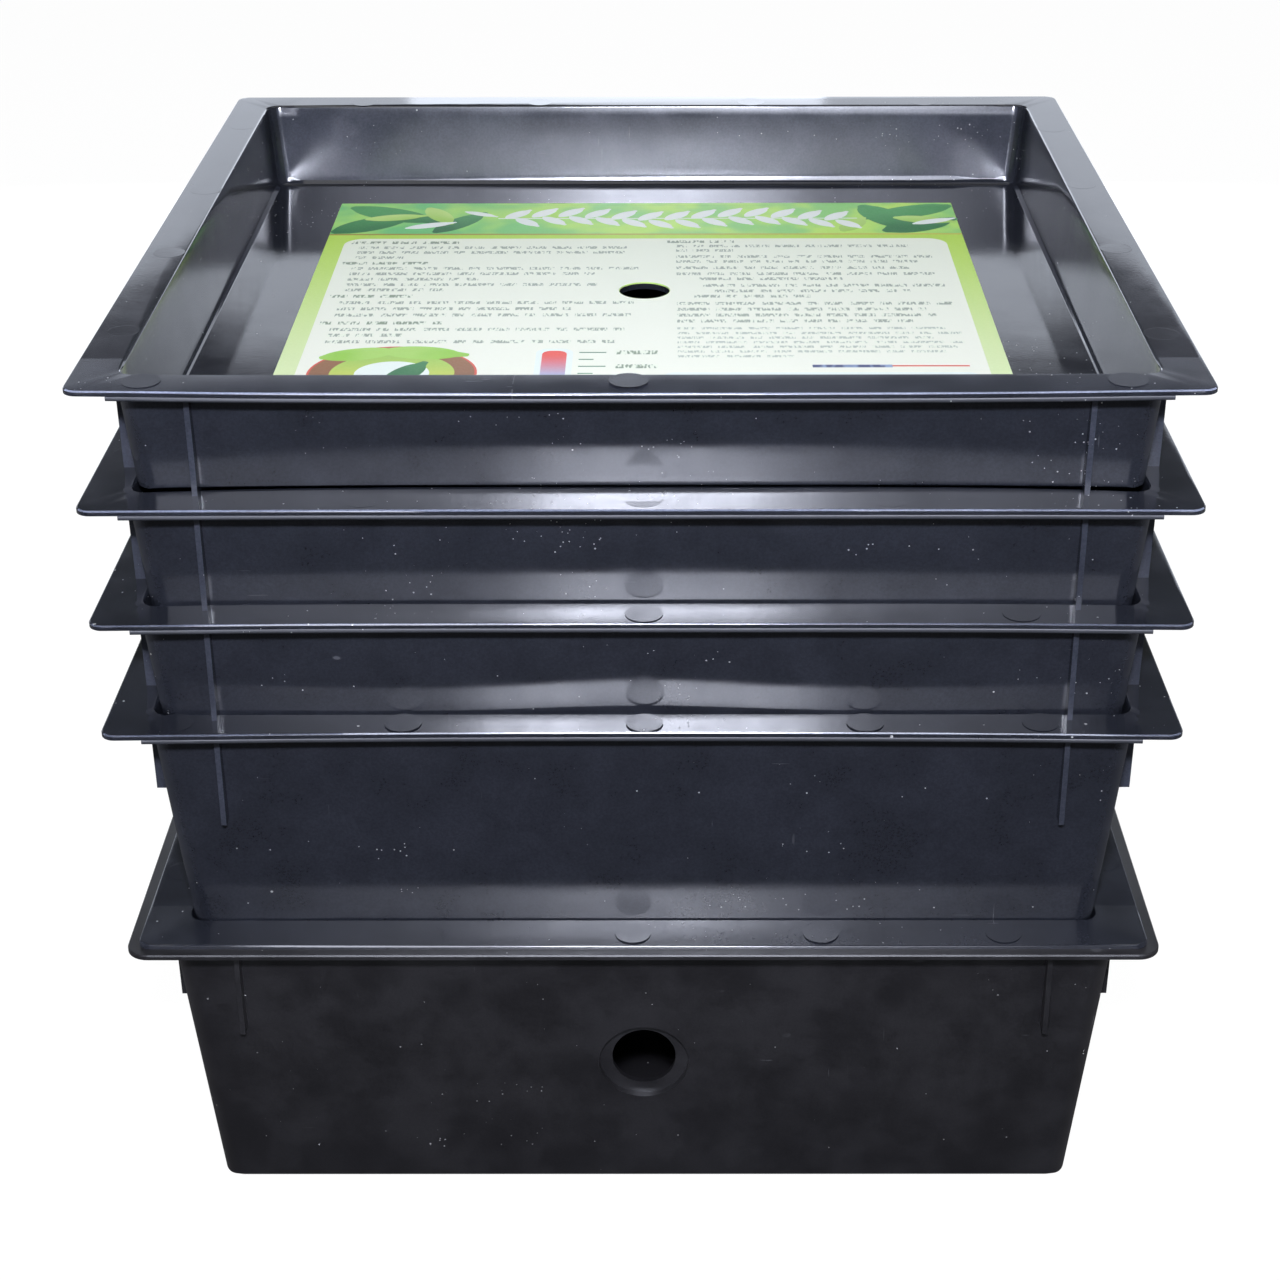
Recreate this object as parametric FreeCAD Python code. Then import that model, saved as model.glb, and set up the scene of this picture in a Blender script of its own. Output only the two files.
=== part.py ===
"""Square stacking wormery: collector base, drain screen, three working trays, lid and card.

Lengths are millimetres. Z points up from the ground, X runs across the front, and the drain hole
faces -Y. The origin is the middle of the base's underside. Every moulding is drawn where it stands
in the stack, so heights are worked out from the ground upwards.
"""

import FreeCAD, Part
import math
import os

# Wall and flange, shared by the base, the trays and the lid.
OPENING = 371.0
OPENING_CORNER = 6.0
FLANGE_WIDTH = 17.0
FLANGE = 2.0
FLANGE_CORNER = 5.5
WALL = 2.5
FLOOR = 2.5
SLOPE = math.tan(math.radians(4.8))
EDGE = 0.5
LIP = 0.9
HEEL = 2.4
COVE = 1.6
SPAN = OPENING + 2.0 * FLANGE_WIDTH
OUTSIDE = OPENING + 2.0 * WALL

# Stacking: the ribs of each piece stand on the flange of the piece below it.
PITCH = 45.8
RIB_FROM_END = 24.3
RIB_THICK = 2.0
RIB_PROUD = 3.2
RIB_TAPER = 0.6
RIB_AT = OPENING / 2.0 - RIB_FROM_END
RIB_REACH = OUTSIDE / 2.0 + RIB_PROUD

# Rounded bead under the edge of each tray's and the lid's flange, between its corners.
BEAD_INSET = 0.3
BEAD_THICK = 2.0
BEAD_DROP = 2.0
BEAD_LENGTH = OPENING + 2.0 * WALL - 2.0

# Collector base.
BASE_HEIGHT = 129.0
BASE_CORNER = 9.0
FOOT_WIDTH = 16.0
FOOT_RELIEF = 0.8
POST_TOP = 20.0
POST_SLOPE = -math.tan(math.radians(3.0))

# Drain hole: a dished seat sunk into the front wall, with a flat upright face.
DRAIN_Z = 63.5
DRAIN_R = 13.0
SEAT_R = 18.3
SEAT_DEPTH = 4.2
SEAT_THICK = 2.5
SEAT_Y = -(OUTSIDE / 2.0 - (BASE_HEIGHT - DRAIN_Z) * SLOPE - SEAT_DEPTH)

# Drain screen: hangs by its flange on the base and carries the lowest tray on its floor.
SCREEN_INSET = 4.5
SCREEN_CLEARANCE = 2.3
SCREEN_CORNER = 5.0
SCREEN_SINK = 8.0
SCREEN_SLOT_LONG = 26.0
SCREEN_SLOT_WIDE = 5.0
SCREEN_SLOTS = 7
SCREEN_MARGIN = 29.7
SCREEN_BEAM = 7.0
SCREEN_BEAM_THICK = 2.0
SCREEN_SPAN = SPAN - 2.0 * SCREEN_INSET
SCREEN_OPENING = OPENING - 2.0 * WALL - 2.0 * SCREEN_CLEARANCE
SCREEN_PITCH = (SCREEN_OPENING - 2.0 * SCREEN_MARGIN - SCREEN_SLOT_LONG) / (SCREEN_SLOTS - 1)
POST_AT = 1.5 * SCREEN_PITCH
SCREEN_BEAMS = (-POST_AT, POST_AT)

# Working trays.
TRAY_DEPTH = 104.0
SLOT_LONG = 30.0
SLOT_WIDE = 6.0
SLOT_COLUMNS = 7
SLOT_ROWS = 8
SIDE_MARGIN = 29.8
END_MARGIN = 37.8
BATTEN = 3.0
BATTEN_THICK = 2.0
TRAY_FLOOR = OPENING - 2.0 * TRAY_DEPTH * SLOPE
COLUMN_PITCH = (TRAY_FLOOR - 2.0 * SIDE_MARGIN - SLOT_LONG) / (SLOT_COLUMNS - 1)
ROW_PITCH = (TRAY_FLOOR - 2.0 * END_MARGIN - SLOT_WIDE) / (SLOT_ROWS - 1)
BATTENS_X = (-1.5 * COLUMN_PITCH, 1.5 * COLUMN_PITCH)
BATTENS_Y = (-2.0 * ROW_PITCH, 2.0 * ROW_PITCH)

# Lid and the card that lies in it.
LID_SINK = 38.2
LID_SKIRT = 4.6
HOLE_R = 11.0
HOLE_Y = 16.0
CARD_MARGIN = 35.3
CARD_THICK = 0.6
CARD_CORNER = 3.0
CARD_Y = -1.0
CARD_SPAN = OPENING - 2.0 * LID_SINK * SLOPE - 2.0 * CARD_MARGIN

# Heights of the flange tops, from the ground upwards.
BASE_TOP = BASE_HEIGHT
SCREEN_TOP = BASE_TOP + FLANGE
SCREEN_FLOOR_TOP = SCREEN_TOP - SCREEN_SINK
LOWER_TOP = SCREEN_FLOOR_TOP + TRAY_DEPTH
MIDDLE_TOP = LOWER_TOP + PITCH
UPPER_TOP = MIDDLE_TOP + PITCH
LID_TOP = UPPER_TOP + PITCH
LID_DEPTH = LID_SINK + FLOOR + LID_SKIRT


def vec(x, y, z):
    return FreeCAD.Vector(x, y, z)


def rounded_square(span, corner, z):
    """Closed wire of a square with round corners, centred on the Z axis."""
    h = span / 2.0
    k = h - corner
    d = corner * math.sqrt(0.5)
    edges = []
    for turn in range(4):
        a = math.radians(90.0 * turn)
        c, s = math.cos(a), math.sin(a)

        def at(x, y):
            return vec(x * c - y * s, x * s + y * c, z)

        edges.append(Part.LineSegment(at(h, -k), at(h, k)).toShape())
        edges.append(Part.Arc(at(h, k), at(k + d, k + d), at(k, h)).toShape())
    return Part.Wire(edges)


def plate(span, corner, z_low, z_high):
    """Flat square plate with round corners."""
    face = Part.Face(rounded_square(span, corner, z_low))
    return face.extrude(vec(0, 0, z_high - z_low))


def wedge(span_top, corner, z_top, depth, slope):
    """Square block with flat sides that narrows downwards, its upright edges rounded."""
    top = span_top / 2.0
    low = top - depth * slope
    block = Part.makeWedge(-low, 0, -low, -top, -top, low, depth, low, top, top)
    block.rotate(vec(0, 0, 0), vec(1, 0, 0), 90.0)
    block.translate(vec(0, 0, z_top - depth))
    if corner:
        block = block.makeFillet(corner, [e for e in block.Edges if e.BoundBox.ZLength > depth / 2.0])
    return block


def tapered(span_top, corner, z_top, depth, heel=0.0):
    """Wedge with the walls' own slope and, if heel is given, a bevel of that size round its foot."""
    block = wedge(span_top, corner, z_top, depth, SLOPE)
    if heel:
        foot_span = span_top - 2.0 * depth * SLOPE - 2.0 * heel
        block = block.common(wedge(foot_span + 2.0 * depth, corner, z_top, depth, 1.0))
    return block


def edges_at(shape, z, span_min=0.0, span_max=1e9):
    """Edges lying at height z, within a band of distances from the middle."""
    found = []
    for edge in shape.Edges:
        box = edge.BoundBox
        reach = max(abs(box.XMin), abs(box.XMax), abs(box.YMin), abs(box.YMax))
        level = abs(box.ZMin - z) < 1e-4 and abs(box.ZMax - z) < 1e-4
        if level and span_min / 2.0 <= reach <= span_max / 2.0:
            found.append(edge)
    return found


def break_edges(shape, size, z, span_min=0.0, span_max=1e9):
    """Bevels the edges at height z, as the mould's radii would."""
    return shape.makeChamfer(size, edges_at(shape, z, span_min, span_max))


def pan(z_top, depth, span, flange_corner, opening, heel, cove, sink=None):
    """Outside, flange and hollow of a tapered tub. The hollow's depth is sink, if given."""
    if sink is None:
        sink = depth - FLOOR
    outer = tapered(opening + 2.0 * WALL, OPENING_CORNER + WALL, z_top, depth, heel)
    flange = plate(span, flange_corner, z_top - FLANGE, z_top)
    flange = break_edges(flange, EDGE, z_top)
    inner = tapered(opening, OPENING_CORNER, z_top, sink, cove)
    return outer, flange, inner


def stacking_ribs(z_top):
    """Eight upright fins, two near the ends of each side, that set the stacking height."""
    mid = OPENING / 2.0 + WALL / 2.0
    points = [
        vec(0, mid - FLANGE * SLOPE, z_top - FLANGE),
        vec(0, RIB_REACH, z_top - FLANGE),
        vec(0, RIB_REACH - RIB_TAPER, z_top - PITCH),
        vec(0, mid - PITCH * SLOPE, z_top - PITCH),
    ]
    profile = Part.Face(Part.makePolygon(points + points[:1]))
    ribs = []
    for side in range(4):
        for x in (-RIB_AT, RIB_AT):
            rib = profile.extrude(vec(RIB_THICK, 0, 0))
            rib.translate(vec(x - RIB_THICK / 2.0, 0, 0))
            rib.rotate(vec(0, 0, 0), vec(0, 0, 1), 90.0 * side)
            ribs.append(rib)
    return ribs


def flange_beads(z_top):
    """Four rounded beads under the flange, one near the edge of each side."""
    front = SPAN / 2.0 - BEAD_INSET
    outline = (
        (1.0, 0.0),
        (0.22, 0.0),
        (0.07, 0.13),
        (0.0, 0.3),
        (0.0, 0.65),
        (0.07, 0.85),
        (0.25, 1.0),
        (0.8, 1.0),
        (1.0, 0.85),
    )
    points = [
        vec(-BEAD_LENGTH / 2.0, front - BEAD_THICK * inward, z_top - FLANGE - BEAD_DROP * down)
        for inward, down in outline
    ]
    bead = Part.Face(Part.makePolygon(points + points[:1])).extrude(vec(BEAD_LENGTH, 0, 0))
    beads = []
    for side in range(4):
        turned = bead.copy()
        turned.rotate(vec(0, 0, 0), vec(0, 0, 1), 90.0 * side)
        beads.append(turned)
    return beads


def slots(z_low, thick, columns, column_pitch, rows, row_pitch, long, wide):
    """Grid of rectangular openings through a floor."""
    boxes = []
    for i in range(columns):
        for j in range(rows):
            x = (i - (columns - 1) / 2.0) * column_pitch
            y = (j - (rows - 1) / 2.0) * row_pitch
            corner = vec(x - long / 2.0, y - wide / 2.0, z_low - 1.0)
            boxes.append(Part.makeBox(long, wide, thick + 2.0, corner))
    return Part.makeCompound(boxes)


def bars(z_low, height, thick, length, xs, ys):
    """Straight bars across a floor, in both directions."""
    found = []
    for x in xs:
        corner = vec(x - thick / 2.0, -length / 2.0, z_low)
        found.append(Part.makeBox(thick, length, height, corner))
    for y in ys:
        corner = vec(-length / 2.0, y - thick / 2.0, z_low)
        found.append(Part.makeBox(length, thick, height, corner))
    return found


def stacking_pan(z_top, depth, heel, sink=None):
    """The tub, flange, beads and ribs that the trays and the lid share."""
    outer, flange, inner = pan(z_top, depth, SPAN, FLANGE_CORNER, OPENING, heel, COVE, sink)
    body = outer.fuse(flange)
    body = body.cut(inner)
    body = body.fuse(stacking_ribs(z_top) + flange_beads(z_top)).removeSplitter()
    return break_edges(body, LIP, z_top, OPENING - 2.0, OPENING + 2.0)


def make_tray(z_top):
    """Working tray: deep tub whose floor is slotted so that the worms can move up."""
    floor_low = z_top - TRAY_DEPTH
    floor_top = floor_low + FLOOR
    body = stacking_pan(z_top, TRAY_DEPTH, HEEL)
    length = TRAY_FLOOR - 2.0 * END_MARGIN + ROW_PITCH
    body = body.fuse(bars(floor_top - 0.5, BATTEN + 0.5, BATTEN_THICK, length, BATTENS_X, BATTENS_Y))
    grid = slots(
        floor_low, FLOOR, SLOT_COLUMNS, COLUMN_PITCH, SLOT_ROWS, ROW_PITCH, SLOT_LONG, SLOT_WIDE
    )
    return body.cut(grid).removeSplitter()


def make_lid():
    """Shallow closed pan with a skirt below its floor and a finger hole through it."""
    body = stacking_pan(LID_TOP, LID_DEPTH, EDGE, LID_SINK)
    low = LID_TOP - LID_DEPTH
    hollow_span = OPENING - 2.0 * LID_DEPTH * SLOPE
    hollow = plate(hollow_span, OPENING_CORNER, low, low + LID_SKIRT)
    hole = Part.makeCylinder(HOLE_R, LID_DEPTH, vec(0, HOLE_Y, low - 1.0))
    return body.cut(hollow).cut(hole).removeSplitter()


def make_card():
    """Loose printed card on the lid's floor, with a hole over the lid's own."""
    low = LID_TOP - LID_SINK
    card = plate(CARD_SPAN, CARD_CORNER, low, low + CARD_THICK)
    card.translate(vec(0, CARD_Y, 0))
    hole = Part.makeCylinder(HOLE_R, CARD_THICK + 2.0, vec(0, HOLE_Y, low - 1.0))
    return card.cut(hole)


def make_screen():
    """Drain screen: shallow slotted insert with a grid of beams under its floor."""
    depth = SCREEN_SINK + FLOOR
    floor_low = SCREEN_TOP - depth
    outer, flange, inner = pan(
        SCREEN_TOP, depth, SCREEN_SPAN, SCREEN_CORNER, SCREEN_OPENING, HEEL, COVE / 4.0
    )
    body = outer.fuse(flange).cut(inner)
    length = SCREEN_OPENING - 2.0 * SCREEN_BEAM
    beams = bars(
        floor_low - SCREEN_BEAM,
        SCREEN_BEAM + 0.5,
        SCREEN_BEAM_THICK,
        length,
        SCREEN_BEAMS,
        SCREEN_BEAMS,
    )
    body = body.fuse(beams)
    grid = slots(
        floor_low,
        FLOOR,
        SCREEN_SLOTS,
        SCREEN_PITCH,
        SCREEN_SLOTS,
        SCREEN_PITCH,
        SCREEN_SLOT_LONG,
        SCREEN_SLOT_WIDE,
    )
    return body.cut(grid).removeSplitter()


def make_base():
    """Collector: tapered tub with four hollow posts and a dished drain seat at the front."""
    outer, flange, inner = pan(
        BASE_TOP, BASE_HEIGHT, SPAN, BASE_CORNER, OPENING, HEEL, COVE
    )
    body = outer.fuse(flange).cut(inner)
    body = body.fuse(stacking_ribs(BASE_TOP))

    boss = Part.makeCylinder(SEAT_R + WALL, 40.0, vec(0, SEAT_Y + SEAT_THICK, DRAIN_Z), vec(0, -1, 0))
    body = body.fuse(boss.common(outer))
    dish = Part.makeCylinder(SEAT_R, 40.0, vec(0, SEAT_Y, DRAIN_Z), vec(0, -1, 0))
    bore = Part.makeCylinder(DRAIN_R, 60.0, vec(0, SEAT_Y + 20.0, DRAIN_Z), vec(0, -1, 0))
    body = body.cut(dish).cut(bore)

    post_height = SCREEN_FLOOR_TOP - FLOOR - SCREEN_BEAM
    post = wedge(POST_TOP, 0.0, post_height, post_height, POST_SLOPE)
    core_height = post_height - WALL
    core = wedge(POST_TOP - 2.0 * WALL, 0.0, core_height, core_height, POST_SLOPE)
    for x in (-POST_AT, POST_AT):
        for y in (-POST_AT, POST_AT):
            body = body.fuse(post.translated(vec(x, y, 0)))
            body = body.cut(core.translated(vec(x, y, 0)))

    relief_span = OUTSIDE - 2.0 * BASE_HEIGHT * SLOPE - 2.0 * FOOT_WIDTH
    relief = plate(relief_span, OPENING_CORNER, 0.0, FOOT_RELIEF)
    return body.cut(relief).removeSplitter()


def main():
    os.makedirs("parts", exist_ok=True)
    nodes = {
        "base": make_base(),
        "drain_screen": make_screen(),
        "tray_lower": make_tray(LOWER_TOP),
        "tray_middle": make_tray(MIDDLE_TOP),
        "tray_upper": make_tray(UPPER_TOP),
        "lid": make_lid(),
        "instruction_card": make_card(),
    }
    for name, shape in nodes.items():
        solid = shape.Solids[0]
        if len(shape.Solids) != 1 or not solid.isValid():
            raise ValueError("not one valid solid: %s (%d)" % (name, len(shape.Solids)))
        solid.exportStep("parts/%s.step" % name)
        print(name, round(solid.Volume / 1000.0, 1), "cm3", len(solid.Faces), "faces")


main()
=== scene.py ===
"""Square stacking wormery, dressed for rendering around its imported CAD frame.

The trays, the lid and the drain screen are copies of the CAD mouldings with the slight bow that thin
walls take as they cool. The lid's card is printed with a plain, unlettered design.
"""

import math
import random

import bpy
from mathutils import Matrix, Vector


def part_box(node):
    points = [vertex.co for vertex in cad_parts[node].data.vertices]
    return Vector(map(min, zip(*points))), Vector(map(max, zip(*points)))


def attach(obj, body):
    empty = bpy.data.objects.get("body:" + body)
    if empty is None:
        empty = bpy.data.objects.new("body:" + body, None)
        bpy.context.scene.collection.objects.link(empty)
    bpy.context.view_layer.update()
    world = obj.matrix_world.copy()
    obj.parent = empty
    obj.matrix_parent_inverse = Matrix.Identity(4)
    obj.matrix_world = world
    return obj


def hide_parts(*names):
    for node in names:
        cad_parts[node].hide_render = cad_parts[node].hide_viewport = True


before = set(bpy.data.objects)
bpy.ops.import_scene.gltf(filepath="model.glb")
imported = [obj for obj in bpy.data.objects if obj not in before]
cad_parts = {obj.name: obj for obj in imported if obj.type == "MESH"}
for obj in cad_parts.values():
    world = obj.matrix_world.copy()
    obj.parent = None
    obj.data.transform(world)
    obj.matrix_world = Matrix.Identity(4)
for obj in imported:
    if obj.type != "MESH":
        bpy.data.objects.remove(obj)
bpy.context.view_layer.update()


MM = 0.001

# Camera: metres, degrees, millimetres of lens and sensor, and shifts as shares of the picture's width
CAMERA_AT = (0.0084, -1.0049, 0.6735)
CAMERA_YAW = 0.164
CAMERA_PITCH = 25.569
CAMERA_ROLL = -0.125
LENS = 69.18
SENSOR_WIDTH = 36.0
SHIFT_X = -0.01386
SHIFT_Y = -0.04363

# Places shared by the pieces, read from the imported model
TOP = {name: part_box(name)[1].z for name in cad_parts}
BOTTOM = {name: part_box(name)[0].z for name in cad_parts}
CARD_LOW, CARD_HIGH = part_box("instruction_card")
FLANGE_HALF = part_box("lid")[1].x

# Sizes of the mouldings that the boxes don't give
OPENING_HALF = 185.5 * MM
WALL_HALF = 188.0 * MM
WALL_DRAFT = 4.8
WALL_SLOPE = math.tan(math.radians(WALL_DRAFT))


# Modelling helpers
def deselect():
    if bpy.context.mode != "OBJECT":
        bpy.ops.object.mode_set(mode="OBJECT")
    bpy.ops.object.select_all(action="DESELECT")


def only(obj):
    deselect()
    obj.select_set(True)
    bpy.context.view_layer.objects.active = obj


def edit(obj, kind="VERT"):
    only(obj)
    bpy.ops.object.mode_set(mode="EDIT")
    bpy.ops.mesh.select_mode(type=kind)
    bpy.ops.mesh.select_all(action="SELECT")


def pick(obj, test):
    """Selects the vertices of obj whose place passes the test."""
    edit(obj)
    bpy.ops.mesh.select_all(action="DESELECT")
    bpy.ops.object.mode_set(mode="OBJECT")
    for vertex in obj.data.vertices:
        vertex.select = test(vertex.co)
    bpy.ops.object.mode_set(mode="EDIT")


def finish_edit():
    bpy.ops.object.mode_set(mode="OBJECT")


def newest(name):
    obj = bpy.context.active_object
    obj.name = name
    obj.data.name = name
    return obj


def settle(obj):
    """Moves an object's place, turn and size into its mesh."""
    only(obj)
    bpy.ops.object.transform_apply(location=True, rotation=True, scale=True)
    return obj


def copied(obj, name, offset, turn=0.0, size=(1.0, 1.0, 1.0)):
    """A copy with its own mesh, sized, turned about the upright and moved, all in its mesh."""
    other = bpy.data.objects.new(name, obj.data.copy())
    bpy.context.scene.collection.objects.link(other)
    place = Matrix.Translation(offset) @ Matrix.Rotation(turn, 4, "Z") @ Matrix.Diagonal((*size, 1.0))
    other.data.transform(place)
    return other


def joined(pieces, name):
    deselect()
    for piece in pieces:
        piece.select_set(True)
    bpy.context.view_layer.objects.active = pieces[0]
    bpy.ops.object.join()
    return newest(name)


def coat(obj, material):
    obj.data.materials.clear()
    obj.data.materials.append(material)
    return obj


def remove(obj):
    bpy.data.objects.remove(obj, do_unlink=True)


# Material helpers
class Graph:
    """Shorthand for adding and wiring nodes in a material or a group."""

    def __init__(self, tree):
        self.tree = tree

    def add(self, kind, **settings):
        node = self.tree.nodes.new(kind)
        for name, value in settings.items():
            setattr(node, name, value)
        return node

    def wire(self, source, target):
        self.tree.links.new(source, target)

    def feed(self, value, socket):
        """Wires a socket, or writes a plain number or colour into it. None leaves it as it is."""
        if value is None:
            return
        if isinstance(value, tuple) and len(value) == 3 and len(socket.default_value) == 4:
            socket.default_value = (*value, 1.0)
        elif isinstance(value, (int, float, tuple)):
            socket.default_value = value
        else:
            self.wire(value, socket)

    def math(self, operation, a, b=None, c=None):
        node = self.add("ShaderNodeMath", operation=operation)
        for socket, value in zip(node.inputs, (a, b, c)):
            self.feed(value, socket)
        return node.outputs[0]

    def mix(self, factor, a, b):
        node = self.add("ShaderNodeMix", data_type="RGBA")
        for socket, value in zip((node.inputs[0], node.inputs[6], node.inputs[7]), (factor, a, b)):
            self.feed(value, socket)
        return node.outputs[2]

    def ramp(self, value, low, high, to_low=0.0, to_high=1.0, smooth=True):
        node = self.add("ShaderNodeMapRange", interpolation_type="SMOOTHSTEP" if smooth else "LINEAR")
        self.wire(value, node.inputs["Value"])
        ends = {"From Min": low, "From Max": high, "To Min": to_low, "To Max": to_high}
        for label, number in ends.items():
            node.inputs[label].default_value = number
        return node.outputs["Result"]

    def noise(self, vector, scale, detail=2.0, rough=0.5):
        node = self.add("ShaderNodeTexNoise")
        self.wire(vector, node.inputs["Vector"])
        node.inputs["Scale"].default_value = scale
        node.inputs["Detail"].default_value = detail
        node.inputs["Roughness"].default_value = rough
        return node.outputs["Fac"]

    def mapped(self, vector, scale=(1.0, 1.0, 1.0), turn=(0.0, 0.0, 0.0), move=(0.0, 0.0, 0.0)):
        node = self.add("ShaderNodeMapping")
        self.wire(vector, node.inputs["Vector"])
        node.inputs["Scale"].default_value = scale
        node.inputs["Rotation"].default_value = turn
        node.inputs["Location"].default_value = move
        return node.outputs["Vector"]

    def split(self, vector):
        node = self.add("ShaderNodeSeparateXYZ")
        self.wire(vector, node.inputs[0])
        return node.outputs


def new_group(name, inputs, outputs):
    """Shader group with named sockets. Inputs are (name, default) pairs; outputs are names."""
    tree = bpy.data.node_groups.new(name, "ShaderNodeTree")
    for label, value in inputs:
        kind = "NodeSocketVector" if value is None else "NodeSocketFloat"
        socket = tree.interface.new_socket(label, in_out="INPUT", socket_type=kind)
        if value is not None:
            socket.default_value = value
    for label in outputs:
        tree.interface.new_socket(label, in_out="OUTPUT", socket_type="NodeSocketFloat")
    g = Graph(tree)
    return tree, g, g.add("NodeGroupInput").outputs, g.add("NodeGroupOutput").inputs


def dust_group():
    """Pale specks of random size, gathered in some patches and absent from others."""
    tree, g, given, result = new_group(
        "dust_specks", [("Vector", None), ("Scale", 300.0), ("Amount", 0.5), ("Size", 0.16)], ["Mask"]
    )
    cells = g.add("ShaderNodeTexVoronoi", feature="F1")
    g.wire(given["Vector"], cells.inputs["Vector"])
    g.wire(given["Scale"], cells.inputs["Scale"])
    parts = g.add("ShaderNodeSeparateColor")
    g.wire(cells.outputs["Color"], parts.inputs["Color"])
    patch = g.ramp(g.noise(given["Vector"], scale=13.0, detail=3.0, rough=0.6), low=0.5, high=0.78)
    stray = 0.04
    chance = g.math("MULTIPLY", g.math("ADD", patch, stray), given["Amount"])
    present = g.math("LESS_THAN", parts.outputs["Red"], chance)
    mostly_small = 1.5
    size = g.math("MULTIPLY", g.math("POWER", parts.outputs["Green"], mostly_small), given["Size"])
    inside = g.math("LESS_THAN", cells.outputs["Distance"], size)
    g.wire(g.math("MULTIPLY", present, inside), result["Mask"])
    return tree


def scratch_group():
    """Fine short scratches lying in mixed directions, in a few patches."""
    tree, g, given, result = new_group("fine_scratches", [("Vector", None), ("Amount", 0.5)], ["Mask"])
    # Each way: turn in radians, how much finer the pattern is along each axis, and its move.
    ways = (
        ((0.5, 0.35, 0.65), (900.0, 46.0, 46.0), 3.1),
        ((-0.9, -0.6, -1.2), (60.0, 1100.0, 60.0), 7.7),
        ((1.2, 0.8, 1.5), (50.0, 50.0, 1000.0), 1.3),
    )
    total = None
    for turn, stretch, move in ways:
        at = g.mapped(given["Vector"], stretch, turn, (move, move, move))
        thin = g.ramp(g.noise(at, scale=1.0, detail=1.0), low=0.77, high=0.79)
        total = thin if total is None else g.math("MAXIMUM", total, thin)
    patch = g.ramp(g.noise(given["Vector"], scale=17.0, detail=2.0), low=0.56, high=0.68)
    g.wire(g.math("MULTIPLY", g.math("MULTIPLY", total, patch), given["Amount"]), result["Mask"])
    return tree


def skin_group():
    """Moulded plastic: slow waves, a fine grain and upright tool lines, with uneven gloss."""
    tree, g, given, result = new_group(
        "moulded_skin",
        [("Vector", None), ("Wave", 1.0), ("Ripple", 1.0), ("Grain", 1.0), ("Lines", 1.0)],
        ["Height", "Gloss"],
    )
    upright = (700.0, 700.0, 3.0)
    # Each layer: the input that weighs it, its pattern, and its height against the waves.
    layers = (
        ("Wave", g.noise(given["Vector"], scale=9.0, detail=1.0), 1.0),
        ("Ripple", g.noise(given["Vector"], scale=46.0, rough=0.55), 0.1),
        ("Grain", g.noise(given["Vector"], scale=620.0, rough=0.6), 0.006),
        ("Lines", g.noise(g.mapped(given["Vector"], upright), scale=1.0, detail=1.0), 0.006),
    )
    height = None
    for name, pattern, amount in layers:
        part = g.math("MULTIPLY", g.math("MULTIPLY", pattern, given[name]), amount)
        height = part if height is None else g.math("ADD", height, part)
    g.wire(height, result["Height"])
    blotch = g.noise(given["Vector"], scale=38.0, detail=4.0, rough=0.65)
    g.wire(g.ramp(blotch, low=0.3, high=0.7), result["Gloss"])
    return tree


DUST = dust_group()
SCRATCHES = scratch_group()
SKIN = skin_group()


def placed(g, tree, vector, **values):
    """Places a shader group in a material with its own values, and gives its outputs."""
    node = g.add("ShaderNodeGroup")
    node.node_tree = tree
    g.wire(vector, node.inputs["Vector"])
    for name, value in values.items():
        node.inputs[name].default_value = value
    return node.outputs


def new_material(name):
    """Empty plastic or ink, its node helper, the shader's inputs and the place on the piece."""
    material = bpy.data.materials.new(name)
    material.use_nodes = True
    material.node_tree.nodes.clear()
    g = Graph(material.node_tree)
    shader = g.add("ShaderNodeBsdfPrincipled")
    out = g.add("ShaderNodeOutputMaterial")
    g.wire(shader.outputs[0], out.inputs["Surface"])
    at = g.add("ShaderNodeTexCoord").outputs["Object"]
    return material, g, shader.inputs, at


def bumped(g, shader, height, distance):
    """Lets a pattern bump the surface. Distance is the height, in metres, of a value of 1."""
    bump = g.add("ShaderNodeBump")
    bump.inputs["Distance"].default_value = distance
    bump.inputs["Strength"].default_value = 1.0
    g.wire(height, bump.inputs["Height"])
    g.wire(bump.outputs["Normal"], shader["Normal"])


PLASTIC_IOR = 1.5
SCUFF_TONE = (0.12, 0.12, 0.125)
DUST_TONE = (0.32, 0.32, 0.31)
DUST_ROUGH = 0.35
# Step by which painted highlight and reflection lighten a face's tone
PAINTED_SHEEN_STEP = 1.1
BLOTCH_STEP = 1.4
CRUMB_SHARE = 0.4


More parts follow.
